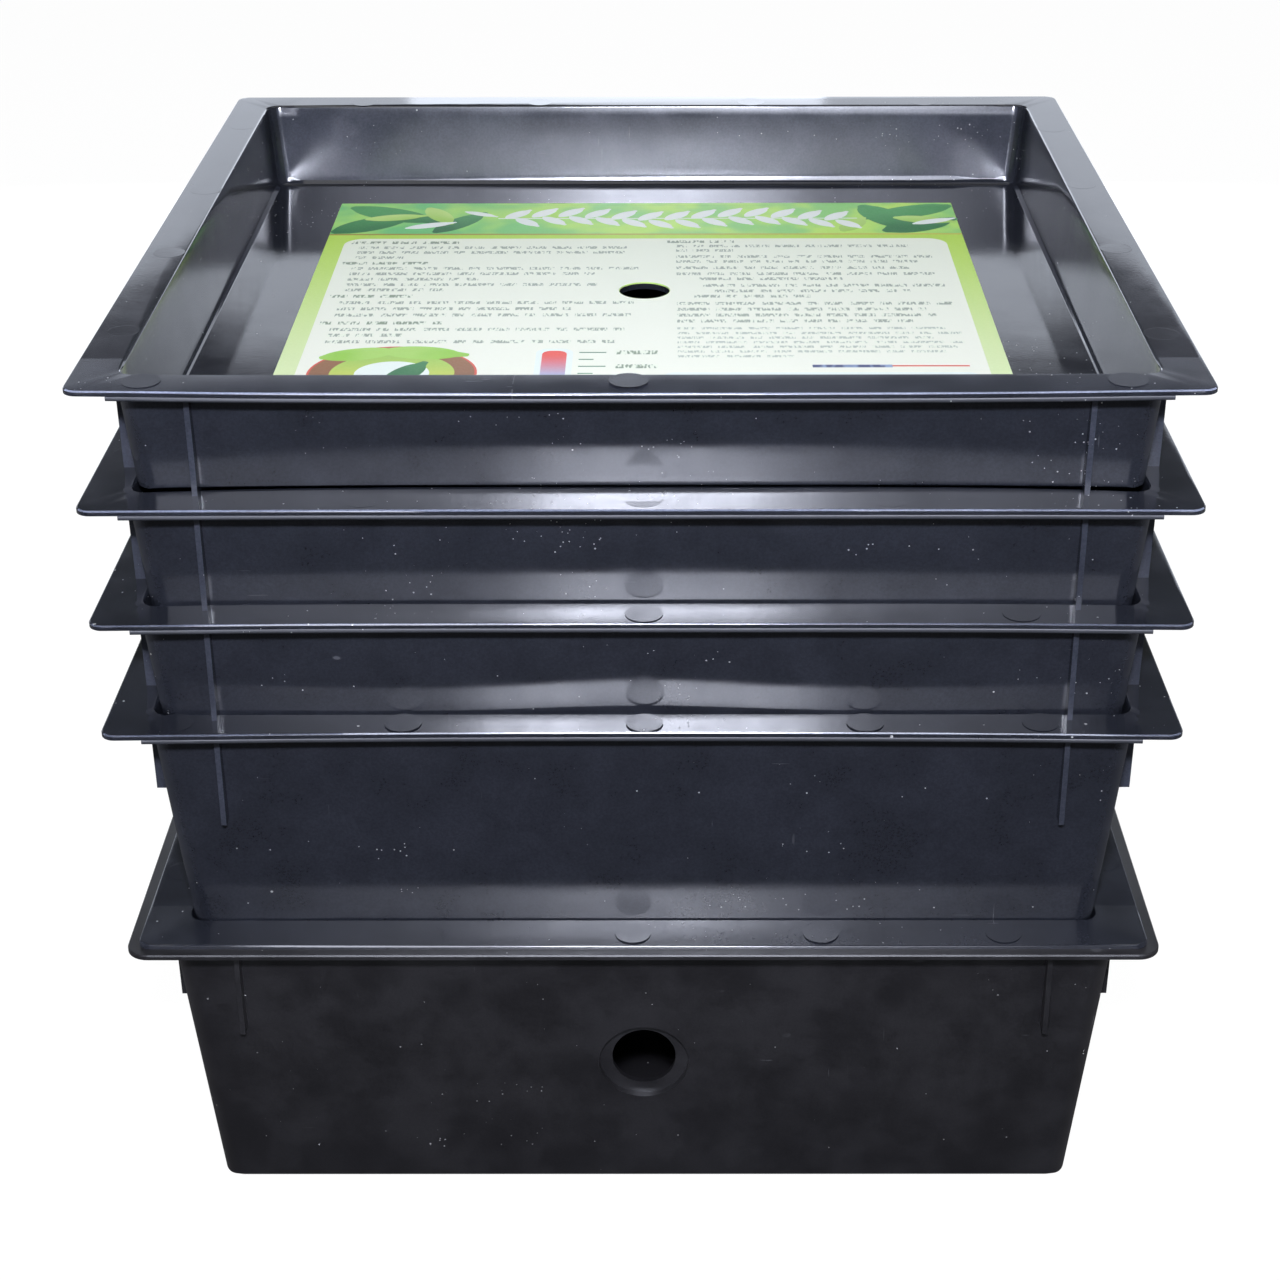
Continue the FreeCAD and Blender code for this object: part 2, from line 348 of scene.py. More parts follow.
def black_plastic(name, colour, gloss, dust, scratch, skin, move):
    """Black moulding with dust, scratches and uneven gloss. Gloss is the roughness, low and high.

    One face attribute lifts its tone in steps, which is painted highlight and reflection, and the other,
    rougher, lifts its roughness.
    """
    material, g, shader, at = new_material(name)
    at = g.mapped(at, move=move)
    # Face values: painted highlight and reflection lighten the tone, and rougher adds roughness
    painted_sheen = g.add("ShaderNodeAttribute", attribute_name="painted_sheen").outputs["Fac"]
    rougher = g.add("ShaderNodeAttribute", attribute_name="rougher").outputs["Fac"]
    speckle = g.noise(at, scale=900.0, detail=2.0, rough=0.8)
    mottle = g.ramp(speckle, low=0.3, high=0.7, to_low=0.85, to_high=1.15)
    # Random mottle, times the painted highlight and reflection of the face
    mottle_and_sheen = g.math("MULTIPLY", mottle, g.math("MULTIPLY_ADD", painted_sheen, PAINTED_SHEEN_STEP, 1.0))
    surface = placed(g, SKIN, at, **skin)
    specks = placed(g, DUST, at, Scale=460.0, Amount=dust, Size=0.16)["Mask"]
    crumbs = placed(g, DUST, at, Scale=150.0, Amount=dust * CRUMB_SHARE, Size=0.1)["Mask"]
    marks = placed(g, SCRATCHES, at, Amount=scratch)["Mask"]
    pale = g.math("MAXIMUM", specks, crumbs)
    tint = g.mix(surface["Gloss"], colour, tuple(c * BLOTCH_STEP for c in colour))
    toned = g.add("ShaderNodeVectorMath", operation="SCALE")
    g.wire(tint, toned.inputs[0])
    g.wire(mottle_and_sheen, toned.inputs["Scale"])
    scuffed = g.mix(marks, toned.outputs["Vector"], SCUFF_TONE)
    g.wire(g.mix(pale, scuffed, DUST_TONE), shader["Base Color"])
    low_rough, high_rough = gloss
    rough = g.ramp(surface["Gloss"], 0.0, 1.0, low_rough, high_rough, smooth=False)
    worn = g.math("MULTIPLY", g.math("MAXIMUM", pale, marks), DUST_ROUGH)
    worn = g.math("ADD", worn, rougher)
    g.wire(g.math("ADD", rough, worn), shader["Roughness"])
    bumped(g, shader, surface["Height"], 1.0 * MM)
    shader["IOR"].default_value = PLASTIC_IOR
    return material


tray_plastic = black_plastic(
    "tray_plastic",
    colour=(0.0137, 0.015, 0.0198),
    gloss=(0.07, 0.12),
    dust=1.2,
    scratch=0.35,
    skin={"Wave": 0.25, "Ripple": 0.2, "Grain": 1.0, "Lines": 1.0},
    move=(0.0, 0.0, 0.0),
)
base_plastic = black_plastic(
    "base_plastic",
    colour=(0.0112, 0.0106, 0.0116),
    gloss=(0.28, 0.4),
    dust=0.9,
    scratch=0.6,
    skin={"Wave": 0.3, "Ripple": 0.25, "Grain": 1.0, "Lines": 0.5},
    move=(0.31, 0.17, 0.0),
)
for name in ("base", "drain_screen", "tray_lower", "tray_middle", "tray_upper", "lid"):
    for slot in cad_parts[name].material_slots:
        slot.material = base_plastic if name == "base" else tray_plastic


ALONG_X, ALONG_Y = 0, 1
INK_IOR = 1.45
INK_ROUGH = 0.42
INK_ROUGH_SPREAD = 0.04
DULL_SHARE = 0.05
DULL_STEP = 0.7


def printed(name, low, high, along=ALONG_Y, start=-0.15, end=0.15, blend=0.0):
    """Printed ink on coated card, its colour running from low to high along an axis.

    The run is from start to end, in metres, and blend is the share of it that is cloudy instead.
    """
    material, g, shader, at = new_material(name)
    run = g.ramp(g.split(at)[along], start, end)
    if blend:
        cloud = g.ramp(g.noise(at, scale=34.0, detail=2.0, rough=0.6), low=0.36, high=0.64)
        run = g.math("ADD", g.math("MULTIPLY", run, 1.0 - blend), g.math("MULTIPLY", cloud, blend))
    fibre = g.noise(at, scale=900.0, detail=2.0, rough=0.6)
    tone = g.mix(run, low, high)
    dull_share = g.ramp(fibre, low=0.3, high=0.7, to_low=0.0, to_high=DULL_SHARE)
    dull = g.mix(dull_share, tone, tuple(c * DULL_STEP for c in high))
    g.wire(dull, shader["Base Color"])
    rough = g.ramp(fibre, 0.3, 0.7, INK_ROUGH - INK_ROUGH_SPREAD, INK_ROUGH + INK_ROUGH_SPREAD)
    g.wire(rough, shader["Roughness"])
    bumped(g, shader, g.noise(at, scale=260.0, detail=2.0), 0.04 * MM)
    shader["IOR"].default_value = INK_IOR
    return material


def typed(name, paper, ink, stroke):
    """Ink broken into upright strokes of a few sizes, so that a bar reads as a greeked word."""
    material, g, shader, at = new_material(name)
    stretched = g.mapped(at, (1.0 / stroke, 0.28 / stroke, 1.0))
    strokes = g.noise(stretched, scale=1.0, detail=0.0)
    g.wire(g.mix(g.ramp(strokes, low=0.38, high=0.62), ink, paper), shader["Base Color"])
    rough = g.ramp(strokes, low=0.3, high=0.7, to_low=0.38, to_high=0.46)
    g.wire(rough, shader["Roughness"])
    bumped(g, shader, strokes, 0.01 * MM)
    shader["IOR"].default_value = INK_IOR
    return material


# The bow of a moulding, in mm: drops are below its top, and reaches are from its middle.
FLANGE_DROP = 7.0
FRONT_REACH = 170.0
WALL_REACH, WALL_RUN = 100.0, 60.0
EDGE_REACH, EDGE_RUN = 186.0, 15.0
DENT_WIDTH = 50.0
DENT_DROP, DENT_RUN = 6.0, 30.0

# How the flange's rise runs outwards: (reach, share of the rise)
LIP_RISE = ((0.0, 0.0), (172.0, 0.0), (181.0, 1.0), (203.0, 0.0))

# Points of the cage that bows a copy, the copy's strips in mm, and gaps in metres
CAGE_ACROSS = 40
CAGE_UP = 20
STRIPS_ALONG_X = range(-170, 171, 20)
STRIPS_ALONG_Y = range(-170, 171, 34)
MERGE_GAP = 2e-6
CUT_GAP = 2e-5
SMOOTH_ANGLE = math.radians(50.0)
SHADING_WEIGHT = 80


def between(stops, at):
    """Value at a place along a list of (place, value) stops, straight between them."""
    for (a0, v0), (a1, v1) in zip(stops, stops[1:]):
        if a0 <= at <= a1:
            return v0 + (v1 - v0) * (at - a0) / (a1 - a0)
    return stops[-1][1]


def rise(t):
    """Goes smoothly from 0 to 1 as t does."""
    t = min(max(t, 0.0), 1.0)
    return t * t * (3.0 - 2.0 * t)


def cage_move(x, y, drop, form):
    """Move of one cage point, in mm: walls go inwards, the flange's edge outwards and down."""
    front = y < 0.0
    on_flange = drop < FLANGE_DROP

    def along(a):
        """Share of the move at distance a along a side: all in its middle, none at its ends."""
        return max(1.0 - (abs(a) / OPENING_HALF) ** form["power"], 0.0)

    def side_move(a, share, dent):
        """Inward move at distance a from the middle, and how far out on the flange that is."""
        reach = abs(a) / MM
        at_wall = rise((reach - WALL_REACH) / WALL_RUN)
        edge = min(max((reach - EDGE_REACH) / EDGE_RUN, 0.0), 1.0) if on_flange else 0.0
        wall = between(form["wall"], drop) + dent
        return (wall * (1.0 - edge) - form["edge_out"] * edge) * at_wall * share, edge * share

    dent_across = math.exp(-((x / (DENT_WIDTH * MM)) ** 2))
    dent = form["dent"] * dent_across * rise((drop - DENT_DROP) / DENT_RUN)
    in_y, edge_y = side_move(y, along(x) * (1.0 if front else form["others"]), dent if front else 0.0)
    in_x, edge_x = side_move(x, along(y) * form["others"], 0.0)
    up = -form["edge_down"] * max(edge_y, edge_x)
    if front and abs(y) > FRONT_REACH * MM:
        up -= form["sag"] * along(x)
    if front and on_flange:
        up += form["lip_up"] * along(x) * between(LIP_RISE, abs(y) / MM)
    return -math.copysign(in_x, x), -math.copysign(in_y, y), up


# Where the ribs, the bead under the flange's edge and the faces with painted sheen or more roughness lie on
# a moulding
RIB_AT = 161.2 * MM
RIB_HALF = 1.1 * MM
RIB_TOP, RIB_FOOT = 2.2 * MM, 45.9 * MM
RIB_FACE_CLEAR = 0.2 * MM
RIB_EDGE_CLEAR = 1.5 * MM
RIB_START = 3.0 * MM
RIB_PROUDER = 1.6 * MM
SIDE_LINE = 187.0 * MM
BEAD_TOP, BEAD_FOOT = 2.05 * MM, 4.1 * MM
BEAD_LINE = 199.0 * MM
FRONT_TOP_LINE = 174.0 * MM
LIP_LINE = 200.0 * MM
LIP_DEPTH = 1.0 * MM
TOP_DEPTH = 0.3 * MM
BACK_LINE = 170.0 * MM
BACK_FOOT = 40.0 * MM

# Cosines that tell how a face lies: facing a way, upright, or slanting as the flange's lip does
FACING = 0.9
UPRIGHT = 0.45
LIP_LOW, LIP_HIGH = 0.15, 0.95

# How much rougher the faces are, and how much painted reflection lightens the ribs' fronts
WALL_ROUGH = 0.06
BEAD_ROUGH = 0.45
DISC_ROUGH = 0.12
RIB_PAINTED_SHEEN = 1.0


def on_rib(place, top, clear):
    """Whether a place is on a rib, standing out from the wall by more than clear."""
    depth = top - place.z
    wall = (WALL_HALF - depth * WALL_SLOPE) + clear
    across, out = sorted((abs(place.x), abs(place.y)))
    return abs(across - RIB_AT) < RIB_HALF and RIB_TOP < depth < RIB_FOOT and out > wall


def face_values(piece):
    """Two new numbers for each face, how much painted highlight and reflection lighten it and how much
    rougher it is, all zero.
    """
    names = ("painted_sheen", "rougher")
    for name in names:
        piece.data.attributes.new(name, "FLOAT", "FACE")
    return [piece.data.attributes[name].data for name in names]


def note_faces(piece, top, form):
    """Notes how much painted highlight and reflection lighten each face and how much rougher it is, for the
    plastic to read.
    """
    painted_sheen, rougher = face_values(piece)
    for face in piece.data.polygons:
        at = face.center
        depth = top - at.z
        up = face.normal.z
        to_front = face.normal.y < -FACING
        on_bead = BEAD_TOP < depth < BEAD_FOOT and max(abs(at.x), abs(at.y)) > BEAD_LINE
        if on_bead:
            rougher[face.index].value = BEAD_ROUGH
        elif abs(up) < UPRIGHT:
            rougher[face.index].value = WALL_ROUGH
        # Rib fronts: painted reflection lightens them
        if to_front and on_rib(at, top, RIB_FACE_CLEAR):
            painted_sheen[face.index].value = RIB_PAINTED_SHEEN
        # Top of the front flange: painted sheen lightens it, and it may be rougher
        elif up > FACING and depth < TOP_DEPTH and at.y < -FRONT_TOP_LINE:
            painted_sheen[face.index].value = form["front_painted_sheen"]
            rougher[face.index].value = form["front_rough"]
        # Back wall's face toward the front: painted reflection lightens it
        elif to_front and at.y > BACK_LINE and depth < BACK_FOOT:
            painted_sheen[face.index].value = form["back_painted_sheen"]
        # Slanted lip of the front flange: a painted highlight lightens it
        elif LIP_LOW < up < LIP_HIGH and depth < LIP_DEPTH and at.y < -LIP_LINE:
            painted_sheen[face.index].value = form["lip_painted_highlight"]


def raise_side_ribs(piece, top):
    """Makes the ribs at the left and right sides stand a little prouder of the wall."""
    start = top - RIB_START
    for side in (-1.0, 1.0):
        pick(piece, lambda p: p.x * side > SIDE_LINE and on_rib(p, top, RIB_EDGE_CLEAR) and p.z < start)
        bpy.ops.transform.translate(value=(side * RIB_PROUDER, 0.0, 0.0))
        finish_edit()


def cut_in_strips(piece, top, depths):
    """Merges a copy's loose triangles and cuts it across, so that it can bend."""
    edit(piece)
    bpy.ops.mesh.remove_doubles(threshold=MERGE_GAP)
    cuts = [((x * MM, 0.0, 0.0), (1.0, 0.0, 0.0)) for x in STRIPS_ALONG_X]
    cuts += [((0.0, y * MM, 0.0), (0.0, 1.0, 0.0)) for y in STRIPS_ALONG_Y]
    cuts += [((0.0, 0.0, top - depth * MM), (0.0, 0.0, 1.0)) for depth in depths]
    for place, normal in cuts:
        bpy.ops.mesh.select_all(action="SELECT")
        bpy.ops.mesh.bisect(plane_co=place, plane_no=normal, threshold=CUT_GAP)
    finish_edit()


def bow_cage(name, top, low, form):
    """Lattice round a moulding, its points moved as the cooled walls and flange are."""
    data = bpy.data.lattices.new(name)
    data.points_u = data.points_v = CAGE_ACROSS
    data.points_w = CAGE_UP
    for way in ("u", "v", "w"):
        setattr(data, "interpolation_type_" + way, "KEY_LINEAR")
    cage = bpy.data.objects.new(name, data)
    bpy.context.scene.collection.objects.link(cage)
    own_size = [2.0 * max(abs(point.co[i]) for point in data.points) for i in range(3)]
    across = 2.0 * FLANGE_HALF
    sizes = [across / own_size[0], across / own_size[1], (top - low) / own_size[2]]
    cage.location = (0.0, 0.0, (top + low) / 2.0)
    cage.scale = sizes
    for point in data.points:
        x, y = point.co.x * sizes[0], point.co.y * sizes[1]
        drop = ((top - low) / 2.0 - point.co.z * sizes[2]) / MM
        move = cage_move(x, y, drop, form)
        point.co_deform = [a + m * MM / size for a, m, size in zip(point.co, move, sizes)]
    return cage


def bowed_copy(node_name, form):
    """Copy of a moulding with its bow, which stands in for the CAD node."""
    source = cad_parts[node_name]
    piece = bpy.data.objects.new(node_name + "_moulding", source.data.copy())
    bpy.context.scene.collection.objects.link(piece)
    only(piece)
    bpy.ops.mesh.customdata_custom_splitnormals_clear()
    top = TOP[node_name]
    cut_in_strips(piece, top, form["cuts"])
    cage = bow_cage(node_name + "_cage", top, BOTTOM[node_name], form)
    note_faces(piece, top, form)
    raise_side_ribs(piece, top)
    bend = piece.modifiers.new("bow", "LATTICE")
    bend.object = cage
    only(piece)
    bpy.context.view_layer.update()
    bpy.ops.object.modifier_apply(modifier=bend.name)
    cage_data = cage.data
    remove(cage)
    bpy.data.lattices.remove(cage_data)

    bpy.ops.object.shade_smooth_by_angle(angle=SMOOTH_ANGLE)
    smooth = piece.modifiers.new("even_shading", "WEIGHTED_NORMAL")
    smooth.keep_sharp = True
    smooth.weight = SHADING_WEIGHT
    bpy.ops.object.modifier_apply(modifier=smooth.name)
    for slot in piece.material_slots:
        slot.material = tray_plastic
    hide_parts(node_name)
    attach(piece, node_name)


# A moulding's form, in mm. Wall is how far the front wall goes inwards at depths below the top, and
# dent is what its middle goes inwards by besides. The flange's edge goes out and down, the front
# sags, and its flange is up a little at the wall. Power is how evenly a side moves along its length,
# and others is the share that the back and the sides move by. The values that lighten the tone as
# painted highlight and reflection, and the rough values, are for the top of the front flange, its
# lip, and the back wall. Cuts are the depths of the level strips.
PLAIN_FORM = {
    "edge_out": 0.0,
    "edge_down": 0.0,
    "sag": 0.0,
    "lip_up": 0.0,
    "dent": 0.0,
    "power": 4.0,
    "others": 0.1,
    # No painted sheen, extra roughness, painted highlight or painted reflection
    "front_painted_sheen": 0.0,
    "front_rough": 0.0,
    "lip_painted_highlight": 0.0,
    "back_painted_sheen": 0.0,
}
TRAY_FORM = {**PLAIN_FORM, "cuts": (8, 16, 24, 30, 35, 39, 42, 45, 50, 75)}
FORMS = {
    "lid": {
        **PLAIN_FORM,
        "wall": ((0.0, 0.0), (10.0, 0.6), (22.0, 1.8), (31.0, 2.8), (36.0, 3.1), (46.0, 3.1)),
        "edge_down": 1.1,
        "others": 0.0,
        # Painted sheen on the front flange's top, a painted highlight on its lip and painted reflection on
        # the back wall
        "front_painted_sheen": 0.6,
        "front_rough": 0.14,
        "lip_painted_highlight": 11.0,
        "back_painted_sheen": 1.2,
        "cuts": (6, 12, 18, 24, 30, 34, 38, 41, 43),
    },
    "tray_upper": {
        **TRAY_FORM,
        "wall": ((0.0, 6.2), (3.0, 4.8), (9.0, 1.2), (20.0, 1.0), (30.0, 1.6), (36.0, 1.8), (104.0, 1.8)),
        "edge_out": 0.9,
        "sag": 0.1,
        "lip_up": 0.4,
        # Painted highlight on the front flange's lip
        "lip_painted_highlight": 9.0,
    },
    "tray_middle": {
        **TRAY_FORM,
        "wall": ((0.0, 3.6), (3.0, 2.7), (9.0, 0.4), (30.0, 0.1), (46.0, 0.2), (104.0, 0.2)),
        "edge_out": 2.6,
        "sag": 0.4,
        "lip_up": 0.3,
        "dent": 2.1,
        # Painted highlight on the front flange's lip
        "lip_painted_highlight": 4.0,
    },
    "tray_lower": {
        **TRAY_FORM,
        "wall": ((0.0, 2.0), (3.0, 1.5), (9.0, 0.0), (30.0, -0.3), (48.0, 0.0), (104.0, 0.0)),
        "edge_out": 3.4,
        "sag": 0.6,
        "lip_up": 0.2,
        "power": 2.5,
        # Painted highlight on the front flange's lip
        "lip_painted_highlight": 4.0,
    },
    "drain_screen": {
        **PLAIN_FORM,
        "wall": ((0.0, 0.0), (18.0, 0.0)),
        "edge_out": 0.3,
        "edge_down": 0.9,
        "others": 0.5,
        "front_rough": 0.1,
        "cuts": (4,),
    },
}
for node_name, form in FORMS.items():
    bowed_copy(node_name, form)


# Round marks left by the mould's pins on the flanges
PIN_RADIUS = 7.0 * MM
RING_SLOPE = 0.16 * MM
RING_HEIGHT = 0.014 * MM
RING_FOOT = 0.08 * MM
DISC_INSET = 4.0 * MM
MARK_LIFT = 0.02 * MM
MARK_LINE = 192.3 * MM
SCREEN_MARK_LINE = 189.5 * MM
MARKS_ON_SIDE = 4
MARK_SPREAD = 280.0
MARK_STRAY = 9.0
SMALLEST_MARK = 0.85
RING_SMOOTH_ANGLE = math.radians(60.0)
FRONT_MARK_LINE = 180.0 * MM


def pin_mark():
    """Flat disc inside a thin ring that stands a hair above it."""
    bpy.ops.mesh.primitive_circle_add(vertices=48, radius=PIN_RADIUS, fill_type="NGON")
    disc = newest("pin_mark")
    edit(disc, "FACE")
    bpy.ops.mesh.inset(thickness=RING_SLOPE, depth=RING_HEIGHT)
    bpy.ops.mesh.inset(thickness=RING_SLOPE, depth=-RING_HEIGHT)
    bpy.ops.mesh.inset(thickness=RING_FOOT, depth=0.0)
    bpy.ops.mesh.inset(thickness=DISC_INSET, depth=0.0)
    finish_edit()
    bpy.ops.object.shade_smooth_by_angle(angle=RING_SMOOTH_ANGLE)
    return coat(disc, tray_plastic)


def flange_marks(node_name, front, line=MARK_LINE):
    """Pin marks along a flange, at the x places given in mm at the front and spread over the others."""
    mark = pin_mark()
    chance = random.Random(node_name)
    top = TOP[node_name] + MARK_LIFT
    pieces = []
    for x in front:
        pieces.append(copied(mark, "mark", (x * MM, -line, top)))
    gaps = MARKS_ON_SIDE - 1
    for turn in (90.0, 180.0, 270.0):
        for i in range(MARKS_ON_SIDE):
            even = -MARK_SPREAD / 2.0 + MARK_SPREAD * i / gaps
            along = (even + chance.uniform(-MARK_STRAY, MARK_STRAY)) * MM
            spot = Matrix.Rotation(math.radians(turn), 3, "Z") @ Vector((along, -line, 0.0))
            size = chance.uniform(SMALLEST_MARK, 1.0)
            pieces.append(copied(mark, "mark", (spot.x, spot.y, top), 0.0, (size, size, 1.0)))
    remove(mark)
    marks = joined(pieces, node_name + "_pin_marks")
    form = FORMS[node_name]
    painted_sheen, rougher = face_values(marks)
    # Marks on the front flange get its painted sheen and its roughness
    for face in marks.data.polygons:
        if face.center.y < -FRONT_MARK_LINE:
            painted_sheen[face.index].value = form["front_painted_sheen"]
            rougher[face.index].value = max(form["front_rough"], DISC_ROUGH)
    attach(marks, node_name)


flange_marks("lid", (-176.0, -4.0, 172.0))
flange_marks("tray_upper", (-100.0, 1.0, 90.0))
flange_marks("tray_middle", (1.0, 140.0))
flange_marks("tray_lower", (-176.0, -90.0, 1.0, 84.0, 150.0))
flange_marks("drain_screen", (-4.0, 70.0, 142.0), SCREEN_MARK_LINE)


# Printed card: plain blocks, leaves and greeked lines, with no lettering
PAPER = (0.9, 0.95, 0.78)

# Where the colour of the leaves' ink runs, in metres along Y
LEAF_RUN = (0.098, 0.14)
PRINT = {
    "border": printed("card_border", (0.76, 0.88, 0.5), (0.52, 0.78, 0.1), ALONG_Y, -0.12, 0.1),
    "panel": printed("card_panel", (0.93, 0.95, 0.8), PAPER, ALONG_Y, -0.08, 0.1),
    "header": printed("card_header", (0.16, 0.6, 0.22), (0.56, 0.87, 0.17), ALONG_X, -0.15, 0.02, 0.65),
    "rule": printed("card_rule", (0.4, 0.3, 0.05), (0.62, 0.6, 0.1), ALONG_X),
    "deep_leaf": printed("card_deep_leaf", (0.02, 0.16, 0.05), (0.1, 0.4, 0.12), ALONG_Y, *LEAF_RUN, 0.3),
    "fresh_leaf": printed("card_fresh_leaf", (0.3, 0.62, 0.05), (0.66, 0.86, 0.3), ALONG_Y, *LEAF_RUN, 0.3),
    "white": printed("card_white", (0.85, 0.94, 0.85), (0.92, 0.97, 0.9)),
    "bark": printed("card_bark", (0.2, 0.085, 0.03), (0.34, 0.15, 0.06), ALONG_Y, -0.12, -0.05),
    "sun": printed("card_sun", (0.85, 0.72, 0.12), (0.36, 0.62, 0.1), ALONG_Y, -0.12, -0.06),
    "heat": printed("card_heat", (0.3, 0.6, 0.85), (0.85, 0.08, 0.05), ALONG_Y, -0.1, -0.062),
    "red": printed("card_red", (0.7, 0.1, 0.06), (0.74, 0.14, 0.08), ALONG_X),
    "words": typed("card_words", PAPER, (0.34, 0.4, 0.3), 0.8 * MM),
    "bold": typed("card_bold", PAPER, (0.24, 0.32, 0.2), 1.0 * MM),
    "small": typed("card_small", PAPER, (0.5, 0.56, 0.46), 0.7 * MM),
    "blue": typed("card_blue", (0.3, 0.4, 0.6), (0.03, 0.05, 0.16), 3.0 * MM),
}

# Places on the card in mm, but its top and the thickness of a layer of ink in metres
CARD_TOP = CARD_HIGH.z
CARD_MIDDLE_Y = (CARD_LOW.y + CARD_HIGH.y) / 2.0 / MM
HOLE_MIDDLE_Y = 16.0
HOLE_RADIUS = 11.2
INK = 0.02 * MM
PRINT_HALF = 146.9
HEADER_FOOT = 97.5
RULE_FOOT = 95.6
LEAF_STEP = 0.15
BADGE_X, BADGE_Y = -100.0, -86.0
BADGE_SQUASH = 0.92
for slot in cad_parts["instruction_card"].material_slots:
    slot.material = PRINT["border"]


def on_card(piece):
    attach(piece, "card")


def slab(name, x0, x1, y0, y1, corner, level, ink):
    """Flat block of ink with round corners. Places in mm, level in ink layers above the card."""
    middle = ((x0 + x1) / 2 * MM, (y0 + y1) / 2 * MM, CARD_TOP + level * INK)
    bpy.ops.mesh.primitive_plane_add(size=1.0, location=middle)
    block = newest(name)
    block.scale = ((x1 - x0) * MM, (y1 - y0) * MM, 1.0)
    settle(block)
    if corner:
        edit(block)
        bpy.ops.mesh.bevel(offset=corner * MM, segments=6, affect="VERTICES")
        finish_edit()
    return coat(block, PRINT[ink])


def leaf(name, ink):
    """Leaf 1 mm long along X, pointed at both ends, with its stalk end at the origin."""
    half = 0.5 * MM
    slimness = 0.46
    end_zone = 0.03 * MM
    tip_pull, stalk_pull = 0.12 * MM, 0.04 * MM
    bpy.ops.mesh.primitive_circle_add(vertices=28, radius=half, fill_type="NGON")
    shape = newest(name)
    shape.location.x = half
    shape.scale.y = slimness
    settle(shape)
    pick(shape, lambda p: p.x > 2.0 * half - end_zone)
    bpy.ops.transform.translate(value=(tip_pull, 0.0, 0.0))
    pick(shape, lambda p: p.x < end_zone)
    bpy.ops.transform.translate(value=(-stalk_pull, 0.0, 0.0))
    finish_edit()
    return coat(shape, PRINT[ink])


def set_leaf(kind, x, y, length, turn, level, wide=1.0):
    """Copy of a leaf with its stalk end at x, y, in mm and degrees, at a level of ink layers."""
    place = (x * MM, y * MM, CARD_TOP + level * INK)
    return copied(kind, "leaf_print", place, math.radians(turn), (length, length * wide, 1.0))


def card_header():
    """Green band with leaves at both ends and a garland of pale leaves in the place of words."""
    band_top = CARD_MIDDLE_Y + PRINT_HALF
    band = slab("header_band", -PRINT_HALF, PRINT_HALF, HEADER_FOOT, band_top, 0.0, 1, "header")
    rule = slab("header_rule", -PRINT_HALF, PRINT_HALF, RULE_FOOT, HEADER_FOOT, 0.0, 1.4, "rule")
    pieces = [band, rule]
    deep, fresh, white = leaf("deep", "deep_leaf"), leaf("fresh", "fresh_leaf"), leaf("white", "white")
    # Each leaf: its kind, lowest level, x, y, length, turn and width.
    for kind, level, x, y, length, turn, wide in (
        (deep, 2.0, -145, 100, 40, 38, 1.0),
        (deep, 2.0, -140, 139, 44, -30, 0.9),
        (deep, 2.0, -98, 100, 34, 55, 0.8),
        (deep, 2.0, 104, 141, 40, -62, 1.0),
        (deep, 2.0, 112, 101, 36, 30, 1.1),
        (deep, 2.0, 145, 141, 42, 206, 0.9),
        (fresh, 2.5, -132, 120, 26, 12, 0.8),
        (fresh, 2.5, -104, 138, 26, -64, 0.9),
        (fresh, 2.5, 118, 122, 26, -14, 0.9),
        (fresh, 2.5, 92, 101, 22, 62, 1.0),
        (white, 3.0, -112, 106, 22, 22, 0.7),
        (white, 3.0, 126, 112, 20, 24, 0.7),
        (white, 3.0, -86, 132, 16, -28, 0.7),
    ):
        pieces.append(set_leaf(kind, x, y, length, turn, level + LEAF_STEP * len(pieces), wide))
    garland_pairs = 13
    garland_start, garland_pitch = -66, 12.6
    garland_y, garland_wave = 121, 3.0
    for i in range(garland_pairs):
        x = garland_start + i * garland_pitch
        y = garland_y + garland_wave * math.sin(i * 0.9)
        pieces.append(set_leaf(white, x, y, 16, 52, 5.0 + 0.05 * i))
        pieces.append(set_leaf(white, x + 5, y, 15, -50, 5.8 + 0.05 * i))
    pieces.append(slab("garland_stem", -70, 100, 120.3, 121.5, 0.5, 6.6, "white"))
    for kind in (deep, fresh, white):
        remove(kind)
    on_card(joined(pieces, "card_header_print"))


def card_panel():
    """Pale panel with the card's own hole through it."""
    panel = slab("card_panel_print", -138.5, 138.5, -140, 90, 9, 1, "panel")
    thick = panel.modifiers.new("ink", "SOLIDIFY")
    thick.thickness = INK
    thick.offset = -1.0
    only(panel)
    bpy.ops.object.modifier_apply(modifier=thick.name)
    middle = (0.0, HOLE_MIDDLE_Y * MM, CARD_TOP)
    bpy.ops.mesh.primitive_cylinder_add(vertices=64, radius=HOLE_RADIUS * MM, depth=0.01, location=middle)
    cutter = newest("panel_cutter")
    hole = panel.modifiers.new("hole", "BOOLEAN")
    hole.operation = "DIFFERENCE"
    hole.object = cutter
    only(panel)
    bpy.ops.object.modifier_apply(modifier=hole.name)
    remove(cutter)
    on_card(panel)


WORD_LENGTHS = (5.0, 7.5, 9.0, 11.0, 14.0, 17.0)
WORD_GAP = 2.6
SHORTEST_WORD = 2.0
SHORTEST_REST = 3.0
LINE_HEIGHT = 3.6
SMALL_HEIGHT = 2.6
HOLE_CLEAR_X, HOLE_CLEAR_Y = 15.0, 16.0


